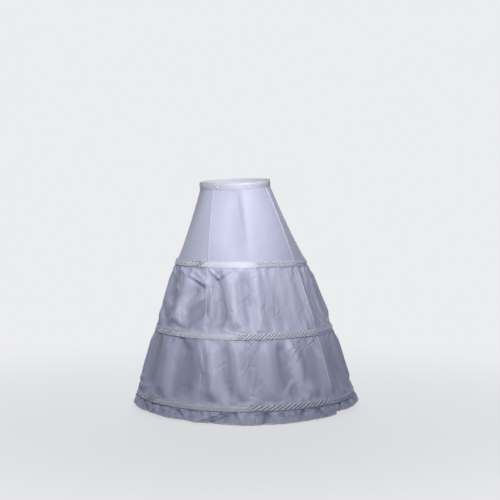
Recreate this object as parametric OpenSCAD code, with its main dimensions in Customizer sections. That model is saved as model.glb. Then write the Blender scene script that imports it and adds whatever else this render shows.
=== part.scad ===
// Hoop petticoat: four gores hung from an elastic waistband, held out by three hoop steels that lie
// in ruched casings, with a flounce under the lowest hoop.
// Millimetres. The origin is the middle of the waistband, +Z is up, -Y is the wearer's front and +X the
// wearer's left. Angles round the skirt start at centre front and run towards the wearer's left.

/* [Waist] */
// Inside width of the waistband, side to side
waist_w = 290; // [230:1:360]
// Inside depth of the waistband, front to back
waist_d = 214; // [170:1:280]
// Rise of the waistband towards the back, in degrees
waist_tilt = 6; // [0:0.5:10]
// Width of the waist elastic
elastic_w = 17; // [10:1:30]
// Thickness of the waist elastic
elastic_t = 0.8; // [0.5:0.1:1.5]
// Depth of the gores' top edge inside the waistband
waist_tuck = 5; // [3:0.5:10]

/* [Upper hoop] */
// Inside diameter of the upper hoop
upper_d = 510; // [440:1:570]
// Drop of the upper hoop below the middle of the waistband
upper_drop = 303; // [250:1:350]
// Distance of the upper hoop's centre behind the waist's centre
upper_back = 45; // [0:1:60]

/* [Middle hoop] */
// Inside diameter of the middle hoop
middle_d = 692; // [620:1:740]
// Drop of the middle hoop below the upper hoop
middle_drop = 258; // [200:1:320]
// Distance of the middle hoop's centre behind the waist's centre
middle_back = 66; // [0:1:80]

/* [Lower hoop] */
// Inside diameter of the lower hoop
lower_d = 852; // [790:1:920]
// Drop of the lower hoop below the middle hoop
lower_drop = 248; // [190:1:310]
// Distance of the lower hoop's centre behind the waist's centre
lower_back = 77; // [0:1:90]

/* [Hoop steels] */
// Width of the flat hoop steel
steel_w = 7; // [5:0.5:10]
// Thickness of the coated hoop steel
steel_t = 1.5; // [0.8:0.1:2.5]
// Gap between the two ends of a hoop, inside its joiner
steel_gap = 2; // [0.5:0.5:5]
// Length of the joiner sleeve
joiner_l = 36; // [20:1:60]
// Wall of the joiner sleeve
joiner_wall = 0.4; // [0.3:0.05:0.6]
// Play between a hoop steel and its joiner
joiner_play = 0.1; // [0.05:0.05:0.2]

/* [Cloth] */
// Thickness of the cloth
cloth_t = 0.8; // [0.5:0.1:1.5]
// Gap left between neighbouring layers
layer_gap = 0.3; // [0.2:0.05:0.5]
// Height of the casing tape on each hoop
casing_h = 24; // [20:1:34]
// Depth of the ruching on the front casings
ruche_depth = 2.2; // [0.5:0.1:4]
// Distance from one ruche to the next
ruche_pitch = 25; // [22:1:45]
// Slant of the ruches, as a share of their pitch over the casing's height
ruche_slant = 0.7; // [0:0.1:1]
// Depth of the flats between the seams, above the upper hoop
upper_flat = 14; // [0:1:24]
// Height of the folds between the upper and the middle hoop
middle_fold = 10; // [0:0.5:14]
// Height of the folds between the middle and the lower hoop
lower_fold = 12; // [0:0.5:16]
// Ridges and hollows round the back half of a tier
back_folds = 16; // [8:2:20]
// How far the side seams stand out below the upper hoop
seam_stand = 7; // [0:0.5:12]

/* [Flounce] */
// Drop of the hem below the lower hoop
hem_drop = 49; // [35:1:90]
// How much the hem is wider than the lower hoop, across the skirt
hem_flare = 32; // [10:1:80]
// Depth of the waves along the hem
hem_wave = 5; // [0:0.5:10]
// Waves along half of the hem
hem_waves = 9; // [4:1:15]
// Height of the flounce's top edge behind the gores
flounce_tuck = 10; // [5:1:15]
// Rise of the back flounce's hem over the front one's
hem_step = 7; // [0:1:15]
// How much lower the hem hangs at the wearer's left front
hem_dip = 9; // [0:1:15]

/* [Hidden] */

cloth_colour = [0.84, 0.85, 0.93];
tape_colour = [0.92, 0.93, 0.98];
steel_colour = [0.95, 0.95, 0.95];
joiner_colour = [0.70, 0.71, 0.73];
elastic_colour = [0.90, 0.90, 0.90];

// The hoops, from the top one down: radius of the steel's inner face, drop and set-back
UPPER = 0;
MIDDLE = 1;
LOWER = 2;
HOOPS = 3;
hoop_r = [upper_d / 2, middle_d / 2, lower_d / 2];
drop = [upper_drop, upper_drop + middle_drop, upper_drop + middle_drop + lower_drop];
set_back = [upper_back, middle_back, lower_back];

// Lean of each hoop's band out of the vertical: the slope of the cloth from the ring above to the ring below
mean_waist_r = (waist_w + waist_d) / 4;
lean = [
    atan((hoop_r[1] - mean_waist_r) / drop[1]),
    atan((hoop_r[2] - hoop_r[0]) / (drop[2] - drop[0])),
    atan((hoop_r[2] - hoop_r[1]) / (drop[2] - drop[1]))
];

// Stations round the skirt
HALF_TURN = 180;
FULL_TURN = 360;
GORES = 4;
GORE_SPAN = FULL_TURN / GORES;
GORE_STEPS = 16;
step = GORE_SPAN / GORE_STEPS;
WAIST_STEPS = GORES * GORE_STEPS;
SIDE_SEAM = GORE_SPAN;

// How far a flat facet lies inside the circle through its corners
function facet_depth(r, angle) = r * (1 - cos(angle / 2));

// Waistband, built up from its inner face: inner layer, channel, outer layer
channel_t = max(cloth_t, elastic_t) + 2 * layer_gap;
gore_in_channel = cloth_t + layer_gap;
waistband_h = waist_tuck + elastic_w + cloth_t + 3 * layer_gap;

// Layers at a hoop, measured out from the steel's inner face
sleeve_reach = joiner_wall + joiner_play;
gore_face = -(sleeve_reach + layer_gap);
tape_face = -sleeve_reach;
function casing_roof(i) = steel_t + sleeve_reach + layer_gap + facet_depth(hoop_r[i], step);
casing_shoulder = steel_w / 2 + sleeve_reach + layer_gap;

// Flounce
LAP_STEP = 3;
flounce_steps = HALF_TURN / LAP_STEP;
flounce_face = gore_face - cloth_t - layer_gap - facet_depth(hoop_r[LOWER], step);
lap_depth = cloth_t + 2 * layer_gap + facet_depth(hoop_r[LOWER], LAP_STEP);
lap_fade = 4 * LAP_STEP;
edge_margin = 2;
hem_r = (lower_d + hem_flare) / 2;
hem_z = -drop[LOWER] - hem_drop;
HEM_SWELLS = 5;
SWELL_SHARE = 0.3;
DIP_AT = 40;
DIP_REACH = 38;

function mix(a, b, f) = a + (b - a) * f;
function clamp01(x) = max(0, min(1, x));
function smooth(x) = let (c = clamp01(x)) c * c * (3 - 2 * c);

// A point of a hoop's band: n out from the steel's inner face, s down the band from its middle
function band_rz(i, n, s) = [
    hoop_r[i] + n * cos(lean[i]) + s * sin(lean[i]),
    -drop[i] + n * sin(lean[i]) - s * cos(lean[i])
];
function round_point(r, angle, back, z) = [r * sin(angle), back - r * cos(angle), z];
function band_point(i, angle, n, s) =
    let (p = band_rz(i, n, s)) round_point(p[0], angle, set_back[i], p[1]);

// A point of the waistband: n out from its inner face, up from its middle, in the tilted plane of the waist
function waist_point(angle, n, up) = let (
    x = (waist_w / 2 + n) * sin(angle),
    y = -(waist_d / 2 + n) * cos(angle)
) [x, y * cos(waist_tilt) - up * sin(waist_tilt), y * sin(waist_tilt) + up * cos(waist_tilt)];

// A closed wall of cloth. Each station is [outer points, inner points], as many of both; the stations run
// towards the wearer's left, and the points run downwards on the outer side. Both sides are split along the
// same diagonals, so that the wall keeps its thickness where it is warped.
module cloth_wall(stations, closed = false) {
    rows = len(stations[0][0]);
    ring = 2 * rows;
    count = len(stations);
    points = [for (s = stations) each concat(s[0], [for (k = [rows - 1:-1:0]) s[1][k]])];
    spans = closed ? count : count - 1;
    sides = [
        for (i = [0:spans - 1]) for (k = [0:ring - 1]) let (
            j = (i + 1) % count,
            m = (k + 1) % ring,
            a = i * ring + k,
            b = i * ring + m,
            c = j * ring + m,
            d = j * ring + k
        ) each k < rows - 1 ? [[a, c, b], [a, d, c]] : [[a, d, b], [b, d, c]]
    ];
    last = (count - 1) * ring;
    ends = closed ? [] : [
        for (k = [0:rows - 2]) let (p = k, q = k + 1, r = ring - 2 - k, t = ring - 1 - k) each [
            [p, q, r], [p, r, t],
            [last + p, last + r, last + q], [last + p, last + t, last + r]
        ]
    ];
    polyhedron(points = points, faces = concat(sides, ends), convexity = 10);
}

// Waistband: one strip folded over the elastic, gathered by it, with the gores' tops between its layers
module waistband() {
    half = waistband_h / 2;
    outer = cloth_t + channel_t;
    fold = half - cloth_t;
    function ruche(k) = (k % 2) * ruche_depth;
    function slant(up) = ruche_slant * 2 * step * up / waistband_h;
    stations = [
        for (k = [0:WAIST_STEPS - 1]) let (angle = k * step, out = outer + cloth_t + ruche(k)) [
            [
                waist_point(angle, 0, -half),
                waist_point(angle, 0, half),
                waist_point(angle + slant(half), out, half),
                waist_point(angle + slant(-half), out, -half)
            ],
            [
                waist_point(angle, cloth_t, -half),
                waist_point(angle, cloth_t, fold),
                waist_point(angle, outer, fold),
                waist_point(angle, outer, -half)
            ]
        ]
    ];
    color(tape_colour) cloth_wall(stations, closed = true);
}

// Elastic loop in the upper part of the waistband's channel
module waist_elastic() {
    inner = cloth_t + (channel_t - elastic_t) / 2;
    bottom = -waistband_h / 2 + waist_tuck + layer_gap;
    function loop_2d(n) = [
        for (k = [0:WAIST_STEPS - 1]) let (angle = k * step)
            [(waist_w / 2 + n) * sin(angle), -(waist_d / 2 + n) * cos(angle)]
    ];
    color(elastic_colour) rotate([waist_tilt, 0, 0]) translate([0, 0, bottom])
        linear_extrude(elastic_w) difference() {
            polygon(loop_2d(inner + elastic_t));
            polygon(loop_2d(inner));
        }
}

// Gores. A tier is the cloth between two rings: the waist or a hoop above, a hoop below.
FOLD_END = 0.22;
TIER_ROWS = [[0, 0.5, 1], [0, FOLD_END, 1 - FOLD_END, 1], [0, FOLD_END, 1 - FOLD_END, 1]];

function tier_top(t, angle, depth) = t == UPPER
    ? waist_point(angle, gore_in_channel + cloth_t - depth, -waistband_h / 2)
    : band_point(t - 1, angle, gore_face - depth, casing_h / 2);
function tier_foot(t, angle, depth) = band_point(t, angle, gore_face - depth, -casing_h / 2);

// The upper tier is drawn tight: its seams stand out as soft corners and the cloth between them lies flat
SEAM_SHARE = 0.5;
function upper_out(angle, f) = upper_flat * (SEAM_SHARE - abs(sin(2 * angle))) * sin(HALF_TURN * f);

// The slack tiers hang in folds. Each fold is given by its angle at the tier's top and at its foot, its half
// width in degrees, and its height as a share of the tier's fold height, below 0 for a hollow.
tier_fold = [0, middle_fold, lower_fold];
FRONT_FOLDS = [
    [],
    [
        [-80, -74, 6, 0.7], [-66, -62, 6, -0.7], [-50, -42, 6, 0.8], [-34, -30, 6, -0.6], [-12, -20, 6, 0.8],
        [14, 20, 5, -1.1], [25, 31, 5, 1], [36, 40, 5, -0.75], [47, 45, 5, 0.6], [63, 65, 8, -0.35]
    ],
    [
        [-78, -76, 6, 0.6], [-64, -60, 6, -0.7], [-48, -44, 6, 0.7], [-33, -29, 6, -0.7], [-17, -14, 6, 0.7],
        [-4, 0, 7, -1], [14, 18, 5, 1], [23, 26, 4, -0.8], [29, 33, 4, 0.7], [48, 48, 5, 0.6],
        [56, 60, 5, -1], [63, 72, 5, 1]
    ]
];

// Round the back, ridges and hollows take turns, each drifting a little to one side on its way down. They grow
// from almost nothing beside the side seams.
BACK_DRIFT = 4;
DRIFT_TURN = 100;
BACK_CALM = 40;
function back_fold(t, j) = let (
    at = SIDE_SEAM + HALF_TURN * (j + 0.5) / back_folds,
    side = j % 2 == 0 ? -1 : 1,
    calm = smooth(from_side(at) / BACK_CALM)
) [at, at + BACK_DRIFT * sin(DRIFT_TURN * (j + t)), HALF_TURN / back_folds / 2, side * calm];

function tier_folds(t) = concat(FRONT_FOLDS[t], [for (j = [0:back_folds - 1]) back_fold(t, j)]);

function sum(values) = values * [for (v = values) 1];
function bell(x) = exp(-x * x);
function turn_between(a, b) = let (d = a - b + HALF_TURN) d - FULL_TURN * floor(d / FULL_TURN) - HALF_TURN;
function fold_at(fold, angle, f) = fold[3] * bell(turn_between(angle, mix(fold[0], fold[1], f)) / fold[2]);

// The side seams are held straight, and the folds beside them run out before they reach them
SEAM_REACH = 8;
function from_side(angle) = abs(abs(turn_between(angle, 0)) - SIDE_SEAM);

function slack_out(t, angle, f) = let (
    folds = tier_fold[t] * sum([for (fold = tier_folds(t)) fold_at(fold, angle, f)]),
    free = smooth(from_side(angle) / SEAM_REACH)
) smooth(min(f, 1 - f) / FOLD_END) * (folds * free + seam_stand * (1 - free));

function cloth_out(t, angle, f) = t == UPPER ? upper_out(angle, f) : slack_out(t, angle, f);

function gore_point(t, angle, f, depth) =
    mix(tier_top(t, angle, depth), tier_foot(t, angle, depth), f)
    + cloth_out(t, angle, f) * [sin(angle), -cos(angle), 0];

function gore_column(angle, depth) = concat(
    [waist_point(angle, gore_in_channel + cloth_t - depth, waist_tuck - waistband_h / 2)],
    [for (t = [0:HOOPS - 1]) for (f = TIER_ROWS[t]) gore_point(t, angle, f, depth)],
    [band_point(LOWER, angle, gore_face - depth, casing_h / 2)]
);

module gore(start) {
    stations = [
        for (k = [0:GORE_STEPS]) let (angle = start + k * step)
            [gore_column(angle, 0), gore_column(angle, cloth_t)]
    ];
    color(cloth_colour) cloth_wall(stations);
}

// Casing tape over half of a hoop, its two edges on the cloth and its middle arched over the steel.
// With ruche above 0 the arch is drawn up into slanting ridges.
FADE_STEPS = 4;

module casing(i, start, ruche) {
    ridges = round(PI * hoop_r[i] / ruche_pitch);
    count = ruche > 0 ? 2 * ridges : 2 * GORE_STEPS;
    pitch = 2 * HALF_TURN / count;
    roof = casing_roof(i);
    edge = casing_h / 2;
    function end_fade(k) = smooth(min(k, count - k) / FADE_STEPS);
    function slant(k, s) = ruche > 0 ? ruche_slant * pitch * end_fade(k) * s / casing_h : 0;
    function at(k, n, s) = band_point(i, start + k * HALF_TURN / count + slant(k, s), n, s);
    stations = [
        for (k = [0:count]) let (lift = (k % 2) * ruche, top = roof + lift) [
            [
                at(k, tape_face + cloth_t, -edge),
                at(k, top + cloth_t, -casing_shoulder - cloth_t),
                at(k, top + cloth_t, casing_shoulder + cloth_t),
                at(k, tape_face + cloth_t, edge)
            ],
            [
                at(k, tape_face, -edge),
                at(k, top, -casing_shoulder),
                at(k, top, casing_shoulder),
                at(k, tape_face, edge)
            ]
        ]
    ];
    color(tape_colour) cloth_wall(stations);
}

module front_casing(i) {
    casing(i, -SIDE_SEAM, ruche_depth);
}

module back_casing(i) {
    casing(i, SIDE_SEAM, 0);
}

// A flat band's section at hoop i, grown on all sides, with its corners broken
function steel_section(i, grow, corner) = let (
    low = -grow,
    high = steel_t + grow,
    half = steel_w / 2 + grow
) [
    for (p = [
        [low + corner, -half], [high - corner, -half], [high, -half + corner], [high, half - corner],
        [high - corner, half], [low + corner, half], [low, half - corner], [low, -half + corner]
    ]) band_rz(i, p[0], p[1])
];

function arc_angle(i, length) = length / hoop_r[i] * HALF_TURN / PI;
STEEL_CORNER = 0.3;
BACK_DIRECTION = 90;
ROUND = 180;

// Hoop steel, its ends meeting at centre back
module hoop(i) {
    gap = arc_angle(i, steel_gap);
    color(steel_colour) translate([0, set_back[i], 0]) rotate(BACK_DIRECTION + gap / 2)
        rotate_extrude(angle = FULL_TURN - gap, $fn = ROUND) polygon(steel_section(i, 0, STEEL_CORNER));
}

// Joiner sleeve, crimped over both ends of a hoop steel
module joiner(i) {
    span = arc_angle(i, joiner_l);
    color(joiner_colour) translate([0, set_back[i], 0]) rotate(BACK_DIRECTION - span / 2)
        rotate_extrude(angle = span, $fn = ROUND) difference() {
            polygon(steel_section(i, sleeve_reach, STEEL_CORNER));
            polygon(steel_section(i, joiner_play, STEEL_CORNER));
        }
}

// Flounce: a strip sewn behind the gores' lower edge, flaring to a waved hem. Where the two strips lap, the
// back one lies inside, and its hem is drawn up a little.
function hem_swell(angle) = 1 - SWELL_SHARE * (1 - sin(HEM_SWELLS * angle));
function wavy_hem_r(angle) = hem_r + hem_wave * hem_swell(angle) * sin(2 * hem_waves * angle);
function dipped_hem_z(angle) = hem_z - hem_dip * bell(turn_between(angle, DIP_AT) / DIP_REACH);

function flounce_top(angle, sunk) =
    band_point(LOWER, angle, flounce_face - sunk, casing_h / 2 - flounce_tuck);
function flounce_foot(angle, sunk) =
    band_point(LOWER, angle, flounce_face - sunk, casing_h / 2 + edge_margin);
function flounce_hem(angle, sunk) =
    round_point(wavy_hem_r(angle) - sunk, angle, set_back[LOWER], dipped_hem_z(angle));

function flounce_column(angle, sunk, raised) = let (
    foot = flounce_foot(angle, sunk),
    hem = flounce_hem(angle, sunk)
) [flounce_top(angle, sunk), foot, mix(hem, foot, raised / (foot[2] - hem[2]))];

module flounce(start, steps, laps_inside, rise) {
    function end_distance(k) = min(k, steps - k) * LAP_STEP;
    function sink(k) = laps_inside ? lap_depth * (1 - smooth((end_distance(k) - LAP_STEP) / lap_fade)) : 0;
    function raise(k) = rise * (1 - smooth(end_distance(k) / (SIDE_SEAM / 2)));
    stations = [
        for (k = [0:steps]) let (angle = start + k * LAP_STEP) [
            flounce_column(angle, sink(k), raise(k)),
            flounce_column(angle, sink(k) + cloth_t, raise(k))
        ]
    ];
    color(cloth_colour) cloth_wall(stations);
}

module front_flounce() {
    flounce(-SIDE_SEAM - LAP_STEP, flounce_steps + 2, false, 0);
}

module back_flounce() {
    flounce(SIDE_SEAM, flounce_steps, true, hem_step);
}

waistband();
waist_elastic();
gore(0);  // front_left_gore
gore(GORE_SPAN);  // back_left_gore
gore(2 * GORE_SPAN);  // back_right_gore
gore(3 * GORE_SPAN);  // front_right_gore
front_casing(UPPER);  // upper_front_casing
front_casing(MIDDLE);  // middle_front_casing
front_casing(LOWER);  // lower_front_casing
back_casing(UPPER);  // upper_back_casing
back_casing(MIDDLE);  // middle_back_casing
back_casing(LOWER);  // lower_back_casing
hoop(UPPER);  // upper_hoop
hoop(MIDDLE);  // middle_hoop
hoop(LOWER);  // lower_hoop
joiner(UPPER);  // upper_joiner
joiner(MIDDLE);  // middle_joiner
joiner(LOWER);  // lower_joiner
front_flounce();
back_flounce();
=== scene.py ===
# %% [markdown]
# # A hoop petticoat
# The skirt is white taffeta. Four gores hang from an elastic waistband, three hoop steels in ruched
# casings hold them out, and a short flounce finishes the hem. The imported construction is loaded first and
# is never moved. Every piece below lies in the same frame, in metres, and takes the place of the plain
# solid that it dresses.

# %% Load the construction
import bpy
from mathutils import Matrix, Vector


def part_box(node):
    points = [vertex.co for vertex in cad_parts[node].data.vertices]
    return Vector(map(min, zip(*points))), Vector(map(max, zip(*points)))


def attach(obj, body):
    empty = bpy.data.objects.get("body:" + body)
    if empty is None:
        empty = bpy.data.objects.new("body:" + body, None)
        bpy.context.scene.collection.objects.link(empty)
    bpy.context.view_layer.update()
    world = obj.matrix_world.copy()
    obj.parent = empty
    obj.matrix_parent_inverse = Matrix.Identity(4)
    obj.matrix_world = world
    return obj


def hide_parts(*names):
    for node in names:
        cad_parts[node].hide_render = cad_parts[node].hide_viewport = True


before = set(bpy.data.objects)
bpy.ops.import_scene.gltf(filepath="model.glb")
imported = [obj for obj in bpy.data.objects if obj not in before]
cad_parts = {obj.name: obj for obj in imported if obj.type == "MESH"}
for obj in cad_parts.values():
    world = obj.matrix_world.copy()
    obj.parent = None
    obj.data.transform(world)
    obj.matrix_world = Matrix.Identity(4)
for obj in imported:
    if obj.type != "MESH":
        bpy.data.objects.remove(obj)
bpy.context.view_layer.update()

# %% [markdown]
# ## Measures
# The rings decide the skirt's shape: an oval waist, tilted up at the back, and three round hoops, each
# set further back than the one above. The cloth at a hoop leans with the skirt's slope. These are the
# construction's own sizes, written in metres, so the cloth meets the steels that are already there.

# %% Rings and slopes
import math
import bmesh
import bpy
import numpy as np

MM = 0.001
QUARTER = math.pi / 2
WAIST_W = 290 * MM
WAIST_D = 214 * MM
WAIST_TILT = math.radians(6)
WAISTBAND_H = 23.7 * MM
HOOP_R = np.array([255, 346, 426]) * MM
HOOP_DROP = np.array([303, 561, 809]) * MM
HOOP_BACK = np.array([45, 66, 77]) * MM
HEM_DROP = 858 * MM
HEM_DIP = 9 * MM
HEM_R = 442 * MM
CASING_H = 24 * MM
CLOTH_T = 0.5 * MM
UPPER, MIDDLE, LOWER = 0, 1, 2

MEAN_WAIST_R = (WAIST_W + WAIST_D) / 4
LEAN = np.arctan([
    (HOOP_R[MIDDLE] - MEAN_WAIST_R) / HOOP_DROP[MIDDLE],
    (HOOP_R[LOWER] - HOOP_R[UPPER]) / (HOOP_DROP[LOWER] - HOOP_DROP[UPPER]),
    (HOOP_R[LOWER] - HOOP_R[MIDDLE]) / (HOOP_DROP[LOWER] - HOOP_DROP[MIDDLE]),
])
print("slope at the hoops in degrees", np.degrees(LEAN).round(1))

# %% [markdown]
# Angles start at centre front and run towards the wearer's left, which is +X. Three small functions turn
# an angle into a point of a plain ring, of a hoop's leaning band, or of the tilted waist. They take whole
# arrays, so a grid of cloth is worked out in one call.

# %% Points on the rings
def ring_point(radius, angle, back, z):
    """Points on a round ring whose centre is set back."""
    x, y, z = np.broadcast_arrays(radius * np.sin(angle), back - radius * np.cos(angle), z)
    return np.stack([x, y, z], -1)


def band_point(hoop, angle, out, down):
    """A point of a hoop's band: out from the steel's inner face, down the slope from its middle."""
    radius = HOOP_R[hoop] + out * np.cos(LEAN[hoop]) + down * np.sin(LEAN[hoop])
    z = -HOOP_DROP[hoop] + out * np.sin(LEAN[hoop]) - down * np.cos(LEAN[hoop])
    return ring_point(radius, angle, HOOP_BACK[hoop], z)


def waist_point(angle, out, up):
    """A point of the waistband: out from its inner face, up from its middle, in the waist's tilted plane."""
    x = (WAIST_W / 2 + out) * np.sin(angle)
    y = -(WAIST_D / 2 + out) * np.cos(angle)
    x, y, up = np.broadcast_arrays(x, y, up)
    cos_tilt = math.cos(WAIST_TILT)
    sin_tilt = math.sin(WAIST_TILT)
    return np.stack([x, y * cos_tilt - up * sin_tilt, y * sin_tilt + up * cos_tilt], -1)


def outward(angle):
    """The level direction away from the ring."""
    return np.stack([np.sin(angle), -np.cos(angle), np.zeros_like(angle)], -1)


for hoop, name in enumerate(["upper_hoop", "middle_hoop", "lower_hoop"]):
    low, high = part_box(name)
    print(name, "half width in the construction", round((high[0] - low[0]) / 2, 4), "here", HOOP_R[hoop])

# %% [markdown]
# ## Camera
# The camera stands four metres away, a little above hip height, and looks at the wearer's left front. A
# long lens keeps the hoops' ovals flat. It aims slightly to the side of the skirt's axis, so the skirt
# sits left of the middle.

# %% Camera
CAMERA_AZIMUTH = math.radians(35)
CAMERA_DISTANCE = 4.009
CAMERA_HEIGHT = -0.0523
CAMERA_PITCH = math.radians(2.945)
CAMERA_PAN = math.radians(0.853)
LENS_MM = 74.0

camera_data = bpy.data.cameras.new("camera")
camera_data.lens = LENS_MM
camera_data.sensor_width = 36
camera = bpy.data.objects.new("camera", camera_data)
bpy.context.scene.collection.objects.link(camera)
camera.location = (
    CAMERA_DISTANCE * math.sin(CAMERA_AZIMUTH),
    -CAMERA_DISTANCE * math.cos(CAMERA_AZIMUTH),
    CAMERA_HEIGHT,
)
camera.rotation_euler = (QUARTER - CAMERA_PITCH, 0, CAMERA_AZIMUTH - CAMERA_PAN)
bpy.context.scene.camera = camera
print("camera at", [round(c, 3) for c in camera.location])

# %% [markdown]
# ## Light and floor
# One large soft lamp stands high beside the camera, so the upper tier is brightest and the lower tiers
# fall off. One behind lights the back, without glints, which would sparkle on the rim of the waistband.
# The room itself gives a faint, cool light, though it looks pale to the camera. A few helpers add nodes
# and link them, so that each node tree in this lesson reads from top to bottom.

# %% World and lamps
def set_inputs(tree, node, inputs):
    """Gives each input of a node a value, or links it from a socket."""
    for label, value in inputs.items():
        if isinstance(value, bpy.types.NodeSocket):
            tree.links.new(value, node.inputs[label])
        else:
            node.inputs[label].default_value = value


def add_node(tree, kind, inputs=None, **settings):
    """A new node, with its settings and inputs."""
    node = tree.nodes.new(kind)
    for setting, value in settings.items():
        setattr(node, setting, value)
    set_inputs(tree, node, inputs or {})
    return node


def math_node(tree, operation, first, second=0.0):
    """The result of one math node."""
    return add_node(tree, "ShaderNodeMath", {0: first, 1: second}, operation=operation).outputs[0]


def mix_colours(tree, factor, first, second):
    """A blend of two colours: factor 0 gives the first and 1 the second."""
    inputs = {"Factor": factor, "A": first, "B": second}
    return add_node(tree, "ShaderNodeMix", inputs, data_type="RGBA").outputs["Result"]


def pale_to_camera(tree):
    """1 for what the camera sees, directly, in a gloss or through glass, and 0 for light on things."""
    path = add_node(tree, "ShaderNodeLightPath").outputs
    seen = math_node(tree, "MAXIMUM", path["Is Camera Ray"], path["Is Glossy Ray"])
    return math_node(tree, "MAXIMUM", seen, path["Is Transmission Ray"])


PALE_ROOM = (0.84, 0.845, 0.86, 1)
ROOM_LIGHT = (0.032, 0.042, 0.098, 1)

scene = bpy.context.scene
scene.view_settings.view_transform = "Standard"
scene.world = bpy.data.worlds.new("room")
scene.world.use_nodes = True
tree = scene.world.node_tree
room = mix_colours(tree, pale_to_camera(tree), ROOM_LIGHT, PALE_ROOM)
set_inputs(tree, tree.nodes["Background"], {"Color": room})


def soft_lamp(name, azimuth_deg, distance, z, aim, width, watts, colour, spread_deg):
    """A round area lamp, placed by its azimuth and distance from the skirt's axis and turned to its aim."""
    data = bpy.data.lights.new(name, "AREA")
    data.shape = "DISK"
    data.size = width
    data.energy = watts
    data.color = colour
    data.spread = math.radians(spread_deg)
    lamp = bpy.data.objects.new(name, data)
    scene.collection.objects.link(lamp)
    azimuth = math.radians(azimuth_deg)
    place = (distance * math.sin(azimuth), -distance * math.cos(azimuth), z)
    lamp.location = place
    toward = np.array(aim) - np.array(place)
    flat = math.hypot(toward[0], toward[1])
    lamp.rotation_euler = (math.atan2(flat, -toward[2]), 0, math.atan2(toward[1], toward[0]) - QUARTER)
    return lamp


soft_lamp("key", azimuth_deg=34, distance=1.7, z=0.7, aim=(0.05, -0.05, -0.11), width=0.7, watts=4.55,
          colour=(0.98, 0.98, 1.0), spread_deg=70)
back_lamp = soft_lamp("back", azimuth_deg=215, distance=2.4, z=1.0, aim=(0, 0.05, -0.4), width=1.8, watts=20,
                      colour=(0.96, 0.97, 1.0), spread_deg=120)
back_lamp.visible_glossy = False

# %% [markdown]
# The floor is one large pale square just below the hem. Far from the skirt it fades into the room, so no
# horizon shows. To the light that bounces from it, it is darker than it looks, so it doesn't light the
# skirt from below.

# %% Floor
FLOOR_Z = -HEM_DROP - HEM_DIP - 4 * MM
FLOOR_HALF = 30.0
FLOOR_SEEN = (0.80, 0.81, 0.83, 1)
FLOOR_BOUNCE = (0.15, 0.16, 0.20, 1)
FADE_START = 0.5
FADE_END = 2.2
LEAST_GLOW = 0.7


def node_material(name):
    """A new material, its node tree and its surface node."""
    material = bpy.data.materials.new(name)
    material.use_nodes = True
    return material, material.node_tree, material.node_tree.nodes["Principled BSDF"]


def smooth_step(tree, value, low, high, least=0.0):
    """Rises softly from least to 1 while the value goes from low to high."""
    inputs = {"Value": value, "From Min": low, "From Max": high, "To Min": least}
    return add_node(tree, "ShaderNodeMapRange", inputs, interpolation_type="SMOOTHSTEP").outputs["Result"]


floor_mesh = bpy.data.meshes.new("floor")
floor_corners = [(x * FLOOR_HALF, y * FLOOR_HALF, FLOOR_Z) for x, y in ((-1, -1), (1, -1), (1, 1), (-1, 1))]
floor_mesh.from_pydata(floor_corners, [], [(0, 1, 2, 3)])
floor = bpy.data.objects.new("floor", floor_mesh)
scene.collection.objects.link(floor)

floor_paint, tree, paint = node_material("pale floor")
seen = pale_to_camera(tree)
set_inputs(tree, paint, {"Roughness": 0.9, "Base Color": mix_colours(tree, seen, FLOOR_BOUNCE, FLOOR_SEEN)})
place = add_node(tree, "ShaderNodeTexCoord").outputs["Object"]
reach = add_node(tree, "ShaderNodeVectorMath", {0: place}, operation="LENGTH").outputs["Value"]
far = math_node(tree, "MULTIPLY", smooth_step(tree, reach, FADE_START, FADE_END, LEAST_GLOW), seen)
glow = add_node(tree, "ShaderNodeEmission", {"Color": PALE_ROOM}).outputs["Emission"]
blend = add_node(tree, "ShaderNodeMixShader", {"Fac": far, 1: paint.outputs["BSDF"], 2: glow})
set_inputs(tree, tree.nodes["Material Output"], {"Surface": blend.outputs["Shader"]})
floor_mesh.materials.append(floor_paint)
print("floor at", round(FLOOR_Z, 4))

# %% [markdown]
# ## Cloth as a grid
# A piece of cloth is a grid of points: rows run down the skirt and columns run round it, so its faces
# look outwards. The UV map holds metres along the cloth, and every weave and crease below is measured on
# it. The wall's thickness is added inwards with a Solidify modifier, which is applied at once.

# %% Grid helpers
def run_lengths(points, axis):
    """Distance along the cloth from the first row or column, in metres."""
    steps = np.linalg.norm(np.diff(points, axis=axis), axis=-1)
    start = np.zeros_like(np.take(steps, [0], axis=axis))
    return np.concatenate([start, np.cumsum(steps, axis=axis)], axis=axis)


def grid_mesh(name, points, closed=False):
    """A mesh of quads over points[row, column]. A closed grid joins its last column to its first."""
    def corners(grid, after_last):
        """The four grid entries at the corners of each face."""
        grid = np.concatenate([grid, after_last], axis=1) if closed else grid
        return np.stack([grid[:-1, :-1], grid[1:, :-1], grid[1:, 1:], grid[:-1, 1:]], -1)

    rows, columns = points.shape[:2]
    index = np.arange(rows * columns).reshape(rows, columns)
    quads = corners(index, index[:, :1]).reshape(-1, 4)
    mesh = bpy.data.meshes.new(name)
    mesh.from_pydata(points.reshape(-1, 3).tolist(), [], quads.tolist())
    mesh.shade_smooth()
    along = run_lengths(points, 1)
    down = run_lengths(points, 0)
    round_end = along[:, -1:] + np.linalg.norm(points[:, -1:] - points[:, :1], axis=-1)
    metres = np.stack([corners(along, round_end), -corners(down, down[:, :1])], -1)
    uv = mesh.uv_layers.new(name="cloth_metres")
    uv.data.foreach_set("uv", metres.reshape(-1).astype(np.float32))
    return mesh


def add_object(name, mesh):
    """A new object in the scene."""
    piece = bpy.data.objects.new(name, mesh)
    scene.collection.objects.link(piece)
    return piece


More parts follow.
